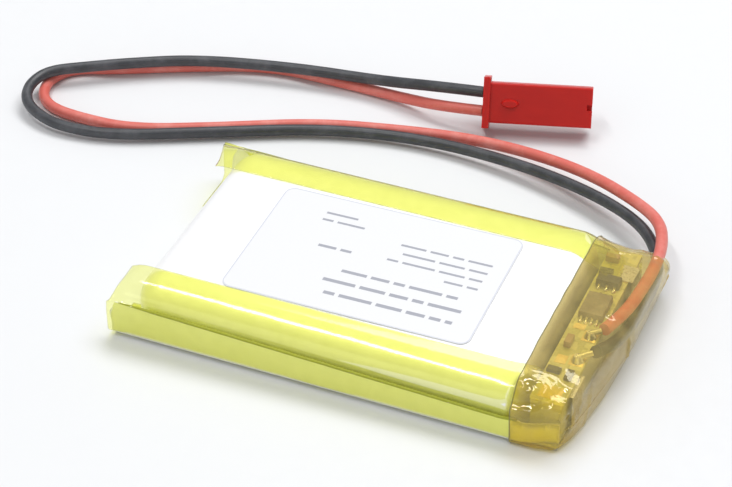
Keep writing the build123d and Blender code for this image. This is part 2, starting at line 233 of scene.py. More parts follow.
def pouch_material(name, drawn):
    """Aluminium laminate under clear nylon: near-white satin metal with soft dents.

    With drawn, the foil from 21.2 mm along X onwards, on the body's board-end slope and the terrace, is
    mixed to grey: painted shade for the shadowed step under the wrap's edge.
    """
    graph = Graph(name)
    dents = graph.noise(9.0, 2.0)
    grain = graph.noise(0.12, 2.0)
    rolled = graph.noise(0.5, 2.0, stretch=(0.04, 1, 1))
    shade = graph.mixed(rolled, colour(0.88, 0.885, 0.89), colour(0.94, 0.94, 0.94))
    if drawn:
        # painted shade: grey from the board-end slope on, by position along X
        unshaded_to, painted_shade_from = 21.2 * MM, 22.2 * MM
        along = graph.add("ShaderNodeSeparateXYZ", {0: graph.place}).outputs["X"]
        stretch = graph.spread(along, 0.0, 1.0, unshaded_to, painted_shade_from)
        shade = graph.mixed(stretch, shade, colour(0.46, 0.45, 0.46))
    values = {
        "Base Color": shade,
        "Metallic": 0.12,
        "Roughness": graph.spread(grain, 0.34, 0.44),
        "Normal": graph.bump(grain, 0.003, graph.bump(dents, 0.05)),
        "Coat Weight": 0.25,
        "Coat Roughness": 0.14,
    }
    return graph.finish(graph.add("ShaderNodeBsdfPrincipled", values))


def board_material():
    """Solder mask over copper: a light olive green with raised tracks and a fine glass weave."""
    graph = Graph("solder_mask")
    cells = graph.add(
        "ShaderNodeTexVoronoi",
        {"Vector": graph.stretched(1, 1, 1), "Scale": 1 / (1.1 * MM)},
        distance="CHEBYCHEV",
        feature="F1",
    ).outputs["Distance"]
    tracks = graph.spread(cells, 0.0, 1.0, 0.42, 0.46)
    weave = graph.noise(0.2, 2.0)
    values = {
        "Base Color": graph.mixed(tracks, colour(0.68, 0.65, 0.26), colour(0.52, 0.50, 0.17)),
        "Roughness": graph.spread(weave, 0.25, 0.4),
        "Normal": graph.bump(weave, 0.006, graph.bump(tracks, 0.04)),
        "Coat Weight": 0.5,
        "Coat Roughness": 0.15,
    }
    return graph.finish(graph.add("ShaderNodeBsdfPrincipled", values))


def plug_material():
    """Translucent red nylon, with faint flow lines from moulding."""
    graph = Graph("red_nylon")
    flow = graph.noise(1.6, 3.0, stretch=(0.35, 1, 1))
    grain = graph.noise(0.1, 2.0)
    values = {
        "Base Color": graph.mixed(flow, colour(0.43, 0.004, 0.002), colour(0.52, 0.008, 0.003)),
        "Roughness": graph.spread(grain, 0.34, 0.46),
        "Normal": graph.bump(grain, 0.003, graph.bump(flow, 0.02)),
        "Specular IOR Level": 0.35,
        "Subsurface Weight": 0.55,
        "Subsurface Radius": (1.0, 0.12, 0.05),
        "Subsurface Scale": 0.0012,
    }
    return graph.finish(graph.add("ShaderNodeBsdfPrincipled", values))


materials = {
    "pouch_foil": pouch_material("pouch_laminate", True),
    "separator_film": solid_material("separator_film", (0.86, 0.86, 0.84), 0.05, 0.7),
    "anode_coating": solid_material("anode_coating", (0.030, 0.030, 0.033), 0.3, 0.75, grain=0.1),
    "cathode_coating": solid_material("cathode_coating", (0.055, 0.055, 0.062), 0.3, 0.7, grain=0.1),
    "roll_tape_green": solid_material("roll_tape_green", (0.10, 0.36, 0.18), 0.1, 0.25),
    "tab_aluminium": solid_material("tab_aluminium", (0.80, 0.80, 0.80), 0.1, 0.35, 1.0, 0.2, 0.003),
    "tab_nickel": solid_material("tab_nickel", (0.66, 0.63, 0.58), 0.12, 0.3, 1.0, 0.2, 0.003),
    "seal_film_white": solid_material("seal_film_white", (0.85, 0.84, 0.78), 0.06, 0.4),
    "foam_grey": solid_material("foam_block", (0.62, 0.61, 0.54), 0.25, 0.85, grain=0.35, depth=0.12),
    "board_green": board_material(),
    "pad_gold": solid_material("gold_plate", (0.80, 0.62, 0.24), 0.2, 0.38, 1.0, 0.15, 0.006),
    "chip_black": solid_material("moulded_epoxy", (0.085, 0.08, 0.085), 0.3, 0.5, grain=0.08, depth=0.005),
    "lead_tin": solid_material("tinned_lead", (0.90, 0.84, 0.50), 0.15, 0.34, 1.0, 0.15, 0.004),
    "resistor_dark": solid_material("resistor_glaze", (0.04, 0.04, 0.045), 0.3, 0.3, grain=0.1, depth=0.004),
    "capacitor_tan": solid_material(
        "capacitor_ceramic", (0.42, 0.27, 0.14), 0.2, 0.45, grain=0.1, depth=0.004
    ),
    "solder": solid_material("solder", (0.90, 0.86, 0.62), 0.1, 0.22, 1.0, 0.3, 0.01),
    "wire_red": wire_material("red_insulation", (0.66, 0.135, 0.105), (0.74, 0.25, 0.21)),
    "wire_black": wire_material("black_insulation", (0.030, 0.032, 0.038), (0.08, 0.083, 0.093)),
    "tape_yellow": film_material("lemon_tape", (0.991, 0.995, 0.70), (0.90, 0.93, 0.16), 0.05, 0.085, 0.008),
    "label_white": solid_material("label_film", (0.765, 0.77, 0.78), 0.03, 0.42, grain=0.08, depth=0.003),
    "wrap_amber": film_material(
        "amber_film", (0.976, 0.930, 0.75), (0.93, 0.77, 0.30), 0.10, 0.045, 0.016, (0.996, 0.925, 0.48)
    ),
    "plug_red": plug_material(),
    "contact_tin": solid_material("tinned_brass", (0.78, 0.74, 0.66), 0.12, 0.25, 1.0, 0.15, 0.003),
}
seal_foil = pouch_material("pouch_laminate_seal", False)
chip_grey = solid_material("laser_marked_epoxy", (0.33, 0.27, 0.20), 0.55, 0.5, grain=0.16, depth=0.01)
# painted shade: the cut edge's dark olive stands for the shadowed step under the wrap's edge
edge_shade_olive = solid_material("film_edge_painted_shade", (0.27, 0.24, 0.09), 0.3, 0.35, grain=0.1, depth=0.004)
# the doubled tape's olive, darkened as painted shade of the groove behind the seal
groove_shade_olive = solid_material("doubled_tape_painted_shade", (0.36, 0.38, 0.012), 0.25, 0.5, grain=0.3, depth=0.004)
border_grey = solid_material("border_grey", (0.60, 0.62, 0.70), 0.1, 0.5, grain=0.08, depth=0.002)
print_grey = solid_material("print_grey", (0.36, 0.37, 0.42), 0.1, 0.5, grain=0.08, depth=0.002)

slots = {entry["node"]: entry["material_slot"] for entry in frame["record"]["subparts"]}
for node, piece in nodes.items():
    piece.data.materials.clear()
    piece.data.materials.append(materials[slots[node]])
    piece.data.polygons.foreach_set("material_index", [0] * len(piece.data.polygons))

# ---------------------------------------------------------------- wires

# control points in metres from the board to the plug, where each route's last point is added
red_route = [
    (0.0273, -0.0014, 0.00675),
    (0.0284, 0.0028, 0.0063),
    (0.02875, 0.0080, 0.00585),
    (0.0289, 0.0132, 0.0056),
    (0.0284, 0.0183, 0.0053),
    (0.0267, 0.0232, 0.0049),
    (0.0228, 0.0270, 0.0042),
    (0.0150, 0.0318, 0.0033),
    (0.0060, 0.0349, 0.0022),
    (-0.0035, 0.0363, 0.0012),
    (-0.0130, 0.0351, 0.0008),
    (-0.0240, 0.0323, 0.0008),
    (-0.0359, 0.0263, 0.0008),
    (-0.0464, 0.0216, 0.0008),
    (-0.0542, 0.0214, 0.0008),
    (-0.0588, 0.0221, 0.0008),
    (-0.0615, 0.0244, 0.0008),
    (-0.0624, 0.0283, 0.0008),
    (-0.0605, 0.0319, 0.0008),
    (-0.0554, 0.0337, 0.0008),
    (-0.0467, 0.0381, 0.0008),
    (-0.0353, 0.0429, 0.0008),
    (-0.0250, 0.0428, 0.0008),
    (-0.0160, 0.0424, 0.00085),
    (-0.0090, 0.0402, 0.0025),
]
black_route = [
    (0.0276, -0.0056, 0.00675),
    (0.0285, -0.0016, 0.0049),
    (0.0290, 0.0040, 0.0038),
    (0.0292, 0.0096, 0.0035),
    (0.0289, 0.0150, 0.0034),
    (0.0273, 0.0200, 0.0032),
    (0.0234, 0.0251, 0.0029),
    (0.0155, 0.0293, 0.0025),
    (0.0045, 0.0326, 0.0018),
    (-0.0090, 0.0339, 0.0012),
    (-0.0225, 0.0311, 0.0011),
    (-0.0365, 0.0243, 0.00115),
    (-0.0480, 0.0189, 0.0011),
    (-0.0555, 0.0181, 0.0012),
    (-0.0597, 0.0194, 0.0015),
    (-0.0623, 0.0214, 0.0018),
    (-0.0633, 0.0246, 0.0021),
    (-0.0622, 0.0279, 0.0024),
    (-0.0581, 0.0306, 0.0024),
    (-0.0529, 0.0339, 0.00235),
    (-0.0445, 0.0384, 0.0023),
    (-0.0310, 0.0416, 0.00235),
    (-0.0185, 0.0429, 0.0025),
    (-0.0094, 0.0414, 0.0048),
]
wire_radius = 0.00075


def make_wire(name, route):
    """A limp wire along its route, from the board to the plug."""
    curve = bpy.data.curves.new(name, "CURVE")
    curve.dimensions = "3D"
    spline = curve.splines.new("NURBS")
    spline.points.add(len(route) - 1)
    for point, place in zip(spline.points, route):
        point.co = (*place, 1.0)
    spline.order_u = 3
    spline.use_endpoint_u = True
    spline.resolution_u = 12
    curve.bevel_depth = wire_radius
    curve.bevel_resolution = 7
    curve.use_fill_caps = True
    wire = bpy.data.objects.new(name_of_cad(name), curve)
    scene.collection.objects.link(wire)
    curve.materials.append(materials[slots[name]])
    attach(wire, "root")
    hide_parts(name)


plug_heading, plug_tilt = radians(16.6), radians(60.0)
plug_axis = Vector((cos(plug_heading), sin(plug_heading), 0))
plug_across = Matrix.Rotation(plug_tilt, 3, plug_axis) @ Vector((-sin(plug_heading), cos(plug_heading), 0))
plug_middle, plug_middle_to_rear, half_pitch = Vector((0.0040, 0.0435, 0.00403)), 0.0077, 0.00125
plug_rear = plug_middle - plug_middle_to_rear * plug_axis
red_route.append(tuple(plug_rear - half_pitch * plug_across))
black_route.append(tuple(plug_rear + half_pitch * plug_across))
make_wire(
    "red_wire", red_route
)
make_wire("black_wire", black_route)

# ---------------------------------------------------------------- mesh building


def make_piece(name, points, faces, slot, node=None, material=None, smooth=True):
    """A mesh piece from points in millimetres, riding on the pack's one body.

    It stands for a CAD node if one is given, and has its slot's material unless another is given.
    """
    mesh = bpy.data.meshes.new(name)
    mesh.from_pydata([Vector(point) * MM for point in points], [], faces)
    tidy = bmesh.new()
    tidy.from_mesh(mesh)
    bmesh.ops.remove_doubles(tidy, verts=tidy.verts, dist=1e-7)
    bmesh.ops.recalc_face_normals(tidy, faces=tidy.faces)
    tidy.to_mesh(mesh)
    tidy.free()
    mesh.polygons.foreach_set("use_smooth", [smooth] * len(mesh.polygons))
    mesh.materials.append(material or materials[slot])
    piece = bpy.data.objects.new(name, mesh)
    scene.collection.objects.link(piece)
    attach(piece, "root")
    if node:
        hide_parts(node)
    return piece


def grid_faces(rows, columns, first=0, closed=False):
    """Quads over rows by columns of points. closed joins each row's last point to its first."""
    wide = columns if closed else columns - 1
    return [
        (
            first + row * columns + column,
            first + row * columns + (column + 1) % columns,
            first + (row + 1) * columns + (column + 1) % columns,
            first + (row + 1) * columns + column,
        )
        for row in range(rows - 1)
        for column in range(wide)
    ]


def steps(start, end, size):
    """Evenly spaced values from start to end, about size apart."""
    count = max(1, round(abs(end - start) / size))
    return [start + (end - start) * number / count for number in range(count + 1)]


def softened(points, times):
    """An open line with its corners cut, over and over, which keeps its two ends."""
    for _ in range(times):
        cut = [points[0]]
        for before, after in zip(points, points[1:]):
            cut.append(before.lerp(after, 0.25))
            cut.append(before.lerp(after, 0.75))
        points = cut + [points[-1]]
    return points


def evenly(points, count):
    """count points spaced evenly along a line."""
    lengths = [0.0]
    for before, after in zip(points, points[1:]):
        lengths.append(lengths[-1] + (after - before).length)
    spaced, index = [], 0
    for number in range(count):
        wanted = lengths[-1] * number / (count - 1)
        while index < len(lengths) - 2 and lengths[index + 1] < wanted:
            index += 1
        share = (wanted - lengths[index]) / max(lengths[index + 1] - lengths[index], 1e-9)
        spaced.append(points[index].lerp(points[index + 1], min(share, 1.0)))
    return spaced


def thicken(piece, thickness):
    """Gives a sheet its thickness, inwards from its outer face."""
    solid = piece.modifiers.new("thickness", "SOLIDIFY")
    solid.thickness = thickness * MM
    solid.offset = -1.0
    solid.use_even_offset = False


def smoothstep(value, low, high):
    """0 below low, 1 above high, and a smooth curve between them."""
    share = min(1.0, max(0.0, (value - low) / (high - low)))
    return share * share * (3 - 2 * share)


# ---------------------------------------------------------------- pouch

pouch_low, pouch_high = cad_box("pouch")
terrace_end = pouch_high.x
seal_half_width = pouch_high.y
pouch_bottom, pouch_top = pouch_low.z, pouch_high.z
body_start, body_end = -26.6, 22.6
body_half_width = 16.45
shoulder_width, shoulder_height = 4.45, 3.0
far_corner_rounding, near_corner_rounding = 2.6, 0.7
seal_thickness = 0.32
seal_hinge, seal_lean = 1.5, 0.32  # height where a seal leaves the body, and its gap at the top
seal_drawn_in = 1.4  # at the end of the terrace, where the wrap pulls the seals in


def pouch_body():
    """The drawn body: a flat top inside rounded shoulders, upright walls and a small heel."""
    reach_start, reach_end = 3.0, 1.4  # how far the shoulder slopes at the folded end and the board end
    core_x = steps(body_start + reach_start, body_end - reach_end, 0.6)
    core_y = steps(-(body_half_width - shoulder_width), body_half_width - shoulder_width, 0.6)
    low_x, high_x, low_y, high_y = core_x[0], core_x[-1], core_y[0], core_y[-1]
    corner = [number * pi / 24 for number in range(1, 12)]
    loop = [(x, high_y, 0.0, 1.0) for x in core_x]
    loop += [(high_x, high_y, sin(turn), cos(turn)) for turn in corner]
    loop += [(high_x, y, 1.0, 0.0) for y in reversed(core_y)]
    loop += [(high_x, low_y, cos(turn), -sin(turn)) for turn in corner]
    loop += [(x, low_y, 0.0, -1.0) for x in reversed(core_x)]
    loop += [(low_x, low_y, -sin(turn), -cos(turn)) for turn in corner]
    loop += [(low_x, y, -1.0, 0.0) for y in core_y]
    loop += [(low_x, high_y, -cos(turn), sin(turn)) for turn in corner]

    heel, wall_top = 0.6, pouch_top - shoulder_height
    rings = [(0.0, 0.0, pouch_bottom)]
    for turn in (0, 30, 60, 90):
        rings.append((1.0, heel * (1 - sin(radians(turn))), pouch_bottom + heel * (1 - cos(radians(turn)))))
    rings += [(1.0, 0.0, z) for z in steps(pouch_bottom + heel, wall_top, 0.7)[1:]]
    for turn in range(6, 91, 6):
        rings.append((cos(radians(turn)), 0.0, wall_top + shoulder_height * sin(radians(turn))))

    points = []
    for share, inset, z in rings:
        for x, y, out_x, out_y in loop:
            reach_x = (reach_end if out_x > 0 else reach_start) * share
            reach_x, reach_y = max(reach_x - inset, 0.0), max(shoulder_width * share - inset, 0.0)
            points.append(Vector((x + out_x * reach_x, y + out_y * reach_y, z)))
    faces = grid_faces(len(rings), len(loop), closed=True)
    for z in (pouch_top, pouch_bottom):
        first = len(points)
        points += [Vector((x, y, z)) for x in core_x for y in core_y]
        faces += grid_faces(len(core_x), len(core_y), first)
    for point in points:  # the board end's corners are rounded, seen from above
        rounding = far_corner_rounding if point.y > 0 else near_corner_rounding
        rounding *= smoothstep(abs(point.y), 11.0, body_half_width)
        point.x -= rounding * smoothstep(point.x, 17.0, body_end)
    wave_height, wave_length, settled = 0.05, 11.0, 0.35
    for point in points:  # the foil is soft: long shallow waves on top
        if point.z > wall_top + 0.1:
            share = (point.z - wall_top) / shoulder_height
            point.z += wave_height * share * (noise.noise(point / wave_length) - settled)
    make_piece("pouch_body", points, faces, "pouch_foil", "pouch")


def seal_top(x):
    """The upper edge of the folded side seals: it slopes down to the board end, where it is trimmed."""
    height, slope, trim = 5.65, 0.036, 0.25
    return height - slope * (x + 28.0) - trim * smoothstep(x, 22.2, 23.2)


def corner_pull(x, z, side):
    """How far the films draw in over the body's rounded corners, most at the top of the far side."""
    far_pull, near_pull = 1.7, 0.4
    return (far_pull if side > 0 else near_pull) * smoothstep(x, 19.2, 23.5) * smoothstep(z, 4.0, 7.5)


def seal_out(x, z, top):
    """How far a folded seal stands out: off the body above, and drawn in beside the terrace."""
    off_body = seal_lean * max(0.0, (z - seal_hinge) / (top - seal_hinge)) ** 2
    return off_body * (1 - smoothstep(x, 20.0, 22.5)) - seal_drawn_in * smoothstep(x, 22.2, 27.0)


def side_seal(name, side):
    """One side seal, folded up against the body: a thin wavy strip with a rolled lower edge."""
    outer, inner = seal_half_width, seal_half_width - seal_thickness
    seal_start = body_start - 2.3
    wave_height, wave_length, end_slant = 0.04, 2.5, 1.6
    points = []
    stations = steps(seal_start, terrace_end, 0.4)
    for x in stations:
        top = seal_top(x) + wave_height * noise.noise(Vector((x / wave_length, side, 0)))
        top -= end_slant * smoothstep(-x, -seal_start - 0.9, -seal_start)
        section = [
            (15.6, 0.28), (16.3, 0.30), (16.75, 0.62), (outer, 1.1), (outer, 2.4), (outer, 3.8),
            (outer, top - 0.08), (outer - 0.05, top), (outer - 0.09, top), (outer - 0.14, top - 0.08),
            (inner, 3.4), (inner, 2.4), (inner, 1.2), (16.35, 0.75), (15.6, 0.6),
        ]
        for y, z in section:
            z = min(z, top)
            points.append((x, side * (y + seal_out(x, z, top)), z))
    count = len(points) // len(stations)
    faces = grid_faces(len(stations), count, closed=True)
    faces.append(tuple(range(count)))
    faces.append(tuple(range(len(points) - count, len(points))))
    make_piece(name, points, faces, "pouch_foil", material=seal_foil)


def terrace():
    """The top seal, pressed between knurled bars: a thin shelf with fine crossed ridges."""
    low, high, half, ridge_height, ridge_pitch = 0.2, 0.6, 16.0, 0.035, 0.7
    across, along = steps(-half, half, 0.2), steps(body_end - 0.4, terrace_end, 0.2)
    points, faces = [], []
    for z, ridge in ((low, 0.0), (high, ridge_height)):
        first = len(points)
        for x in along:
            for y in across:
                crossed = cos(pi * (x + y) / ridge_pitch) * cos(pi * (x - y) / ridge_pitch)
                points.append((x, y, z + ridge * crossed))
        faces += grid_faces(len(along), len(across), first)
    rows, columns = len(along), len(across)
    rim = list(range(columns))
    rim += [row * columns + columns - 1 for row in range(1, rows)]
    rim += [(rows - 1) * columns + column for column in range(columns - 2, -1, -1)]
    rim += [row * columns for row in range(rows - 2, 0, -1)]
    above = rows * columns
    for here, following in zip(rim, rim[1:] + rim[:1]):
        faces.append((here, following, following + above, here + above))
    make_piece("pouch_terrace", points, faces, "pouch_foil")


pouch_body()
side_seal("pouch_seal_near", -1)
side_seal("pouch_seal_far", 1)
terrace()

# ---------------------------------------------------------------- edge tapes

tape_thickness = 0.06
tape_gap = 0.10  # from the pouch to the outside of the tape
tape_under_edge = 10.5  # where it ends on the underside, from the pack's middle


def tape_section(top_edge, x, groove, count):
    """The tape's outline across the pack at x, from its top edge to its edge below.

    groove is 1 where the tape is pressed into the gap behind the folded seal, and 0 where it is loose.
    """
    top = seal_top(x)
    shoulder_y, shoulder_z = body_half_width - shoulder_width, pouch_top - shoulder_height
    wide, high = shoulder_width + tape_gap, shoulder_height + tape_gap
    outer = seal_half_width + tape_gap
    line = []
    if top_edge < shoulder_y:
        line = [Vector((y, pouch_top + tape_gap)) for y in steps(top_edge, shoulder_y, 0.5)]
    for turn in range(88, 12, -6):
        place = Vector((shoulder_y + wide * cos(radians(turn)), shoulder_z + high * sin(radians(turn))))
        if place.x > top_edge and place.y > top + 0.4:
            line.append(place)
    flat, drawn, rim = 1 - groove, seal_out(x, 0.0, top), outer + seal_out(x, top, top)
    line += [  # down behind the seal and over its upper edge
        Vector((16.54 + drawn, top + 0.25)),
        Vector((16.56 + 0.14 * flat + drawn, top + 0.05 - 0.25 * groove)),
        Vector((16.60 + 0.26 * flat + drawn, top + 0.04 - 0.75 * groove)),
        Vector((16.84 + 0.14 * flat + drawn, top + 0.03 - 0.72 * groove)),
        Vector((rim - 0.16, top - 0.12 * groove)),
        Vector((rim - 0.09, top + 0.07)),
    ]
    for z in (top + 0.03, top - 0.06, top - 0.25, top - 1.2, 2.2, 1.05):
        line.append(Vector((outer + seal_out(x, z, top), z)))
    line += [  # round the heel and along the underside
        Vector((outer - 0.30 + drawn, 0.62)),
        Vector((outer - 0.95 + drawn, tape_gap)),
        Vector((outer - 2.2 + drawn, tape_gap)),
        Vector((tape_under_edge, tape_gap)),
    ]
    return evenly(softened(line, 2), count)


def edge_tape(name, side, top_edge, flap_end, slant):
    """A strip of clear yellow tape along one long edge, with a loose flap past the folded end.

    The flap ends at flap_end below and slant less far out on top.
    """
    end, count, rows = cad_box(name)[1].x, 130, 170
    wave_length, waves_on_body, waves_on_flap = 7.0, 0.02, 0.22
    flap_in, flap_down = 0.3, 1.2  # how far the flap leans in and hangs down
    pressed_in, pressed_down = 0.35, 0.5  # past the body, per millimetre above the seal

    def row_x(row, around):
        """X of a row's point, given how far round the section it is, from 0 on top to 1 below."""
        edge = flap_end + slant * (1 - smoothstep(around, 0.0, 0.5))
        return edge + (end - edge) * row / (rows - 1)

    points = []
    for row in range(rows):
        middle_x = row_x(row, (count // 2) / (count - 1))
        groove = 1 - smoothstep(-middle_x, -(body_start + 0.5), -(body_start - 1.2))
        section = tape_section(top_edge, middle_x, groove, count)
        for number, place in enumerate(section):
            around = number / (count - 1)
            x = row_x(row, around)
            loose = smoothstep(-x, -(body_start - 0.2), -flap_end)
            ripple = noise.noise(Vector((x / wave_length, 7 * around + 5 * side, 2))) + 0.3
            swell = waves_on_body * max(ripple, 0.0) + loose * waves_on_flap * ripple
            lean = 1 - smoothstep(around, 0.0, 0.45)
            fold = smoothstep(-x, -(body_start + 1.2), -flap_end)
            past_body = smoothstep(x, body_end - 0.2, end) * max(0.0, place.y - seal_top(x))
            y = place.x + swell - flap_in * loose * lean - pressed_in * past_body * around
            y -= corner_pull(x, place.y, side)
            z = place.y + swell * lean - flap_down * fold * fold * lean - pressed_down * past_body
            points.append((x, side * y, max(z, tape_gap)))
    tape = make_piece(name, points, grid_faces(rows, count), "tape_yellow", name_of_cad(name))
    thicken(tape, tape_thickness)


def tape_fold(name, side):
    """The tape doubled over on itself where it is tucked behind the folded seal: an opaque olive line,
    partly the doubled tape's own colour and partly painted shade of the groove there.

    It starts thin just past the body's folded end, and runs on under the wrap's edge.
    """
    start, end = body_start - 1.0, terrace_end - 4.6
    wave_height, wave_length, thinnest, thick_after = 0.03, 3.0, 0.25, 6.0
    section = [  # out and up from the seal's upper edge
        (0.07, -0.09), (0.09, 0.0), (0.05, 0.10), (-0.10, 0.19), (-0.24, 0.16), (-0.12, 0.02), (0.02, -0.06),
    ]
    stations = steps(start, end, 0.5)
    points = []
    for x in stations:
        top = seal_top(x) + wave_height * noise.noise(Vector((x / wave_length, side, 6)))
        rim = seal_half_width + tape_gap + seal_out(x, top, top) - 0.09
        thin = min(1.0, thinnest + (x - start) / thick_after)
        points += [(x, side * (rim + thin * y), top + thin * z) for y, z in section]
    count = len(section)
    faces = grid_faces(len(stations), count, closed=True)
    faces += [tuple(range(count)), tuple(range(len(points) - count, len(points)))]
    make_piece(name, points, faces, "tape_yellow", material=groove_shade_olive)


edge_tape("near_edge_tape", -1, 12.1, -29.4, 1.1)
edge_tape("far_edge_tape", 1, 9.6, -30.3, 2.6)
tape_fold("near_edge_tape_fold", -1)
tape_fold("far_edge_tape_fold", 1)

# ---------------------------------------------------------------- label

label_low, label_high = cad_box("label")
label_middle = (label_low + label_high) / 2
label_size = Vector((31.0, 21.0))
label_turn = Matrix.Rotation(radians(1.0), 2)
label_corner = 1.3
border_inset, border_width, border_height = 0.05, 0.12, 0.01


def rounded_outline(size, corner, inset=0.0):
    """Points round a rounded rectangle about the origin."""
    half = size / 2 - Vector((inset, inset))
    radius = corner - inset
    outline = []
    for number, (sign_x, sign_y) in enumerate(((1, 1), (-1, 1), (-1, -1), (1, -1))):
        middle = Vector((sign_x * (half.x - radius), sign_y * (half.y - radius)))
        for turn in range(0, 91, 10):
            angle = radians(turn + 90 * number)
            outline.append(middle + radius * Vector((cos(angle), sin(angle))))
    return outline


def label_place(place, z):
    """A point on the label, given from its middle, in the frame."""
    turned = label_turn @ place
    return (label_middle.x + turned.x, label_middle.y + turned.y, z)


def flat_ring(name, outer, inner, low, high, node=None, material=None):
    """A flat closed plate between two outlines with as many points, or a whole one without inner."""
    count = len(outer)
    levels = [(outer, low), (outer, high)]
    if inner:
        levels += [(inner, high), (inner, low)]
    points = [label_place(place, z) for outline, z in levels for place in outline]
    faces = grid_faces(len(levels), count, closed=True)
    if inner:
        faces += [(k, (k + 1) % count, 3 * count + (k + 1) % count, 3 * count + k) for k in range(count)]
    else:
        faces += [tuple(range(count)), tuple(range(count, 2 * count))]
    make_piece(name, points, faces, "label_white", node, material, smooth=False)


label_top = label_high.z
flat_ring(
    "label",
    rounded_outline(label_size, label_corner),
    None,
    label_low.z,
    label_top,
    name_of_cad("label"),
)
flat_ring(
    "label_border",
    rounded_outline(label_size, label_corner, border_inset),
    rounded_outline(label_size, label_corner, border_inset + border_width),
    label_top,
    label_top + border_height,
    material=border_grey,
)


def label_print():
    """Plain bars in rows, where a label has its print: no lettering."""
    ink, gap = 0.008, 0.55
    rows = [  # y of the row, height of its bars, where it starts and ends
        (-7.6, 0.55, -3.5, 12.5),
        (-5.3, 0.55, -4.5, 12.8),
        (-3.1, 0.50, -3.0, 11.6),
        (-0.6, 0.36, 9.0, 13.2),
        (1.0, 0.36, 1.2, 13.2),
        (2.6, 0.36, 2.6, 13.4),
        (4.2, 0.36, 1.8, 13.4),
        (0.6, 0.45, -7.5, -2.5),
        (5.6, 0.36, -9.0, -3.5),
        (7.0, 0.36, -9.0, -3.9),
    ]
    points, faces = [], []
    for number, (y, height, start, end) in enumerate(rows):
        x, word = start, number
        while x < end - 0.8:
            length = min(1.4 + 0.9 * ((word * 7) % 4), end - x)
            first = len(points)
            corners = ((x, y), (x + length, y), (x + length, y + height), (x, y + height))
            for z in (label_top, label_top + ink):
                points += [label_place(Vector(corner), z) for corner in corners]
            faces += grid_faces(2, 4, first, closed=True)
            faces += [tuple(range(first, first + 4)), tuple(range(first + 4, first + 8))]
            x += length + gap
            word += 1
    make_piece("label_print", points, faces, "label_white", material=print_grey, smooth=False)


label_print()

# ---------------------------------------------------------------- amber wrap

wrap_low, wrap_high = cad_box("amber_wrap")
wrap_half_width = wrap_high.y
wrap_top = wrap_high.z
wrap_thickness = 0.05
wrap_start, wrap_taper = wrap_low.x, 22.6
wrap_end = 30.4  # the far half's end, which the near half falls short of

creases = [  # two ends on the film, how far the fold stands out, and its width
    ((27.3, 0.2, 7.6), (30.2, -0.6, 4.8), 0.34, 0.32),
    ((30.2, -0.6, 4.8), (30.0, -1.0, 1.0), 0.24, 0.34),
    ((25.4, 4.2, 7.8), (27.3, 0.2, 7.6), 0.24, 0.38),
    ((22.0, -15.2, 7.2), (24.0, -15.6, 6.9), 0.22, 0.45),
    ((24.0, -15.6, 6.9), (25.9, -14.9, 7.1), 0.30, 0.45),
    ((25.9, -14.9, 7.1), (27.9, -14.8, 6.6), 0.25, 0.45),
    ((22.4, -12.9, 7.9), (24.6, -12.3, 7.7), 0.22, 0.50),
    ((24.6, -12.3, 7.7), (27.4, -13.3, 7.0), 0.22, 0.50),
    ((28.0, -14.8, 6.4), (28.6, -13.4, 6.0), 0.30, 0.30),
    ((28.0, -14.8, 6.4), (27.9, -14.4, 3.5), 0.26, 0.30),
    ((24.9, 12.4, 7.7), (28.6, 13.6, 7.0), 0.35, 0.34),
    ((28.6, 13.6, 7.0), (30.2, 14.0, 5.2), 0.30, 0.36),
    ((22.0, 13.0, 7.9), (29.0, 16.4, 5.6), 0.18, 0.40),
    ((29.4, -10.0, 5.6), (28.6, -11.5, 0.8), 0.14, 0.50),
]
wire_tents = [  # where the film rests on the wires: two ends, lift and width
    ((27.2, -10.5, 7.2), (27.5, -1.0, 7.2), 0.28, 2.8),
    ((27.5, -1.0, 7.2), (28.6, 6.0, 6.9), 0.26, 2.6),
]
crumpled_corners = [  # middle, reach and strength: strongest at the near corner
    ((24.6, -14.8, 6.8), 2.4, 0.50),
    ((28.2, -14.5, 5.0), 2.0, 0.45),
    ((28.5, 14.8, 6.0), 2.4, 0.30),
]


def wrap_section(x, count):
    """The wrap's outline across the pack at x, from the middle of its underside and back to it."""
    share = smoothstep(x, wrap_taper, 29.4)
    end_drop, far_narrowing, near_narrowing = 0.85, 0.1, 0.35
    top = wrap_top - end_drop * share

    def finished(line):
        """The line from the underside, ended on top in the middle, rounded and evenly spaced."""
        return evenly(softened([Vector(place) for place in line + [(0.0, top)]], 2), count)

    half = wrap_half_width - far_narrowing * share
    pinch = smoothstep(x, 22.0, 26.0)
    wide = shoulder_width + 0.1 + 0.8 * pinch - 0.9 * share
    high = shoulder_height + 0.1 + 0.9 * pinch - 1.3 * share
    far = [(0.0, 0.0), (half - 2.2, 0.0), (half - 0.7, 0.30), (half, 1.3), (half, 2.2), (half, 3.2)]
    for turn in range(0, 91, 7):
        angle = radians(turn)
        far.append((half - wide * (1 - cos(angle)), top - high * (1 - sin(angle))))
    far = finished([(y - corner_pull(x, z, 1), z) for y, z in far])

    half = wrap_half_width - near_narrowing * share
    ledge = 5.35 + 0.9 * smoothstep(x, 21.4, 27.5)  # over the near seal's upper edge
    crest = min(ledge + 1.5, top - 0.55)
    near = [
        (0.0, 0.0), (half - 1.8, 0.0), (half - 0.45, 0.10), (half, 0.55), (half, 1.6), (half, 3.6),
        (half, ledge - 0.5), (half + 0.02, ledge - 0.12), (half + 0.02, ledge),
        (half - 0.10, ledge + 0.06), (half - 0.45, ledge + 0.16), (half - 0.80, ledge + 0.42),
        (half - 1.15, 0.5 * (ledge + crest) + 0.3), (half - 1.6, crest),
        (half - 2.3, top - 0.30), (half - 3.2, top - 0.10), (half - 4.6, top),
    ]
    near = finished([(y - corner_pull(x, z, -1), z) for y, z in near])
    return far + [Vector((-place.x, place.y)) for place in reversed(near[1:-1])]


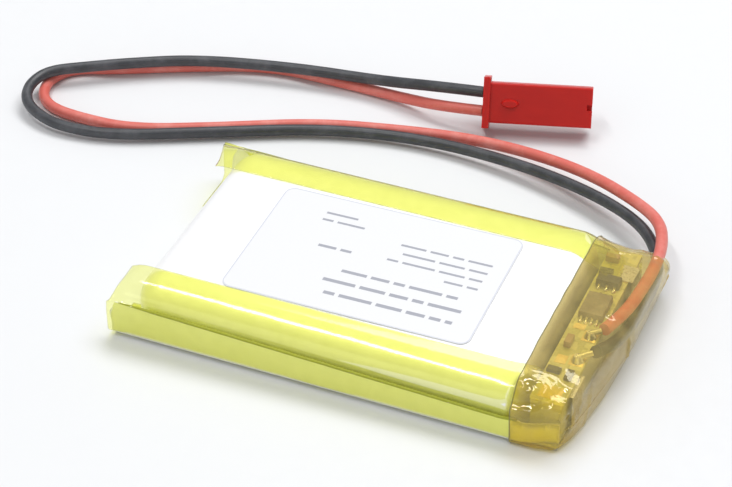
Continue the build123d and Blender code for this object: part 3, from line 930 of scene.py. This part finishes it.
def line_height(point, lines):
    """How far folds lift the film at a point, from a list of lines with heights and widths."""
    lift = 0.0
    for start, end, height, width in lines:
        along = Vector(end) - Vector(start)
        share = min(1.0, max(0.0, (point - Vector(start)).dot(along) / along.length_squared))
        gap = (point - Vector(start) - share * along).length
        lift = max(lift, height * exp(-((gap / width) ** 2)))
    return lift


def crumple(point):
    """Facets and sharp folds of stiff film that nothing holds flat, strong only at its corners."""
    facet_size, fold_size, everywhere = 1.3, 1.7, 0.03
    distances = noise.voronoi(point / facet_size)[0]
    ridge = 0.5 - min(distances[1] - distances[0], 0.5)
    soft = noise.noise(point / fold_size)
    strength = everywhere
    for middle, reach, amount in crumpled_corners:
        strength += amount * exp(-(((point - Vector(middle)).length / reach) ** 2))
    return strength * (0.7 * ridge + 0.8 * soft)


def drawn_in(place):
    """How far short of the far half's end the film ends: the near half is slanted, its corner rounded."""
    slant, corner_rounding = 0.138, 0.5
    return slant * max(0.0, 1.0 - place.y) + corner_rounding * smoothstep(-place.y, 12.6, 16.6)


def closing_row(outline, share):
    """The wrap's last outline, rounded over and closed to a line at half height, by a share from 0 to 1."""
    rounded_share, radius, middle_z = 0.45, 1.1, 3.2
    turn = min(1.0, share / rounded_share) * pi / 2
    flat = max(0.0, share - rounded_share)
    shrink = radius * (1 - cos(turn)) + flat * 6.2
    row = []
    for place in outline:
        toward = middle_z - place.z
        drop = max(-abs(toward), min(abs(toward), shrink if toward > 0 else -shrink))
        inwards = min(radius * (1 - cos(turn)) + 1.2 * flat, abs(place.y))
        y = place.y - inwards * (1 if place.y > 0 else -1) * smoothstep(abs(place.y), 8.0, 16.0)
        z = middle_z if share == 1.0 else place.z + drop
        row.append(Vector((place.x + 1.4 * sin(turn) + 0.2 * smoothstep(share, 0.3, 1.0), y, z)))
    return row


def loosened(place):
    """A point of the smooth film, moved to where the sagging, tucked and crumpled film has it."""
    sag_depth, tuck_depth = 0.28, 0.9
    far_out = smoothstep(place.x, wrap_taper + 1.0, wrap_end - 1.2)
    held = smoothstep(place.x, wrap_start, wrap_start + 0.8)  # 0 at the cut edge, which lies flat
    outwards = Vector((0.8 * smoothstep(place.x, 28.8, 29.9), place.y / 24.0, (place.z - 3.5) / 4.0))
    outwards.normalize()
    sag = sag_depth * smoothstep(place.z, 6.0, 7.2) * sin(pi * smoothstep(place.x, 22.4, 27.4))
    sag *= 1 - smoothstep(abs(place.y), 11.0, 14.0)
    tucked = tuck_depth * (1 - smoothstep(place.z, 0.0, 4.5)) * smoothstep(place.y, -8.0, 4.0)
    moved = place - Vector(((drawn_in(place) + tucked) * far_out, 0, sag))
    lift = line_height(moved, creases) + crumple(moved)
    tent = line_height(moved, wire_tents) if place.z > 5.0 else 0.0
    moved += (outwards * lift + Vector((0, 0, tent))) * held
    return Vector((moved.x, moved.y, max(moved.z, 0.0)))


def amber_wrap():
    """Amber film round the board end, drawn in over the board and closed over the end."""
    half_count, closing_rows, closing_length = 200, 26, 1.6
    stations = steps(wrap_start, wrap_end - closing_length, 0.12)
    rows = [[Vector((x, *place)) for place in wrap_section(x, half_count)] for x in stations]
    last = rows[-1]
    rows += [closing_row(last, number / closing_rows) for number in range(1, closing_rows + 1)]
    points = [loosened(place) for row in rows for place in row]
    faces = grid_faces(len(rows), len(rows[0]), closed=True)
    wrap = make_piece("amber_wrap", points, faces, "wrap_amber", name_of_cad("amber_wrap"))
    thicken(wrap, wrap_thickness)


def wrap_edge():
    """The film's cut edge, where its layers end one on another: a low ridge across the pack, painted dark
    olive as painted shade of the step under the edge.
    """
    outline = wrap_section(wrap_start, 160)
    ridge = ((-0.05, 0.0), (-0.03, 0.04), (0.03, 0.05), (0.07, 0.0))  # along X from the cut, and height
    waviness, wave_length = 0.12, 3.0
    points = []
    for x, raised in ridge:
        for place in outline:
            outwards = Vector((place.x / 17.0, (place.y - 4.0) / 4.0)).normalized()
            moved = place + outwards * raised
            slip = waviness * noise.noise(Vector((place.x / wave_length, place.y / wave_length, 8)))
            points.append((wrap_start + x + slip, moved.x, max(moved.y, 0.0)))
    faces = grid_faces(4, len(outline), closed=True)
    make_piece("amber_wrap_edge", points, faces, "wrap_amber", material=edge_shade_olive)


amber_wrap()
wrap_edge()

# ---------------------------------------------------------------- solder on the board


def solder_fillets(chip, count, side_gap):
    """Bright domes of solder over the feet of a chip's leads, along both of its Y sides."""
    low, high = cad_box(f"{chip}_leads")
    points, faces = [], []
    half_lead = 0.12
    pitch = (high.x - low.x - 2 * half_lead) / (count - 1)
    rings, around, sunk = 5, 16, 0.04
    half_length, half_width, height = 0.42, 0.28, 0.36
    for side_y in (low.y + side_gap, high.y - side_gap):
        for number in range(count):
            middle = Vector((low.x + half_lead + number * pitch, side_y, low.z - sunk))
            size = 1.0 + 0.25 * noise.noise(middle * 3.1)
            first = len(points)
            for ring in range(rings):
                rise = ring / (rings - 1) * pi / 2
                for step in range(around):
                    turn = 2 * pi * step / around
                    reach = Vector((half_width * cos(turn), half_length * sin(turn), 0)) * size * cos(rise)
                    points.append(middle + reach + Vector((0, 0, height * size * sin(rise))))
            faces += grid_faces(rings, around, first, closed=True)
            faces.append(tuple(range(first, first + around)))
    make_piece(f"{chip}_solder", points, faces, "solder")


solder_fillets("mosfet_pair", 4, 0.22)
solder_fillets("protection_chip", 3, 0.15)

# ---------------------------------------------------------------- CAD pieces that stay

nodes["mosfet_pair"].data.materials[0] = chip_grey
softened_edges = {
    "plug_housing": 0.12,
    "protection_board": 0.06,
    "mosfet_pair": 0.08,
    "protection_chip": 0.08,
    "chip_resistors": 0.08,
    "chip_capacitors": 0.10,
    "foam_block": 0.15,
    "board_pads": 0.015,
    "red_solder_joint": 0.20,
    "black_solder_joint": 0.20,
}
for node, width in softened_edges.items():
    bevel = nodes[node].modifiers.new("edges", "BEVEL")
    bevel.width = width * MM
    bevel.segments = 3
    bevel.limit_method = "ANGLE"
    bevel.angle_limit = radians(35)

# ---------------------------------------------------------------- floor and light

floor_material = solid_material("floor", (0.752, 0.76, 0.77), 0.01, 0.6, grain=2.0, depth=0.0)
floor_mesh = bpy.data.meshes.new("floor")
floor_reach = 3.0
floor_corners = [(floor_reach * x, floor_reach * y, 0) for x, y in ((-1, -1), (1, -1), (1, 1), (-1, 1))]
floor_mesh.from_pydata(floor_corners, [], [(0, 1, 2, 3)])
floor_mesh.materials.append(floor_material)
floor = bpy.data.objects.new("floor", floor_mesh)
scene.collection.objects.link(floor)

world = bpy.data.worlds.new("studio")
scene.world = world
world.use_nodes = True
background = world.node_tree.nodes["Background"]
background.inputs["Color"].default_value = colour(0.97, 0.98, 1.0)
background.inputs["Strength"].default_value = 0.48


def softbox(name, place, size, watts):
    """A rectangular light that faces the pack."""
    data = bpy.data.lights.new(name, "AREA")
    data.shape = "RECTANGLE"
    data.size, data.size_y = size
    data.energy = watts
    light = bpy.data.objects.new(name, data)
    light.location = place
    light.rotation_euler = (-Vector(place)).to_track_quat("-Z", "Y").to_euler()
    scene.collection.objects.link(light)


softbox("overhead_strip", (-0.25, -0.20, 0.90), (0.5, 0.07), 2.1)
softbox("back", (0.12, 0.40, 0.84), (0.9, 0.4), 6.4)
softbox("front_left", (-0.20, -0.75, 0.25), (2.4, 0.45), 2.2)
scene.view_settings.view_transform = "Standard"
scene.cycles.transparent_max_bounces = 32  # a line of sight crosses many layers of clear film
scene.cycles.max_bounces = 16
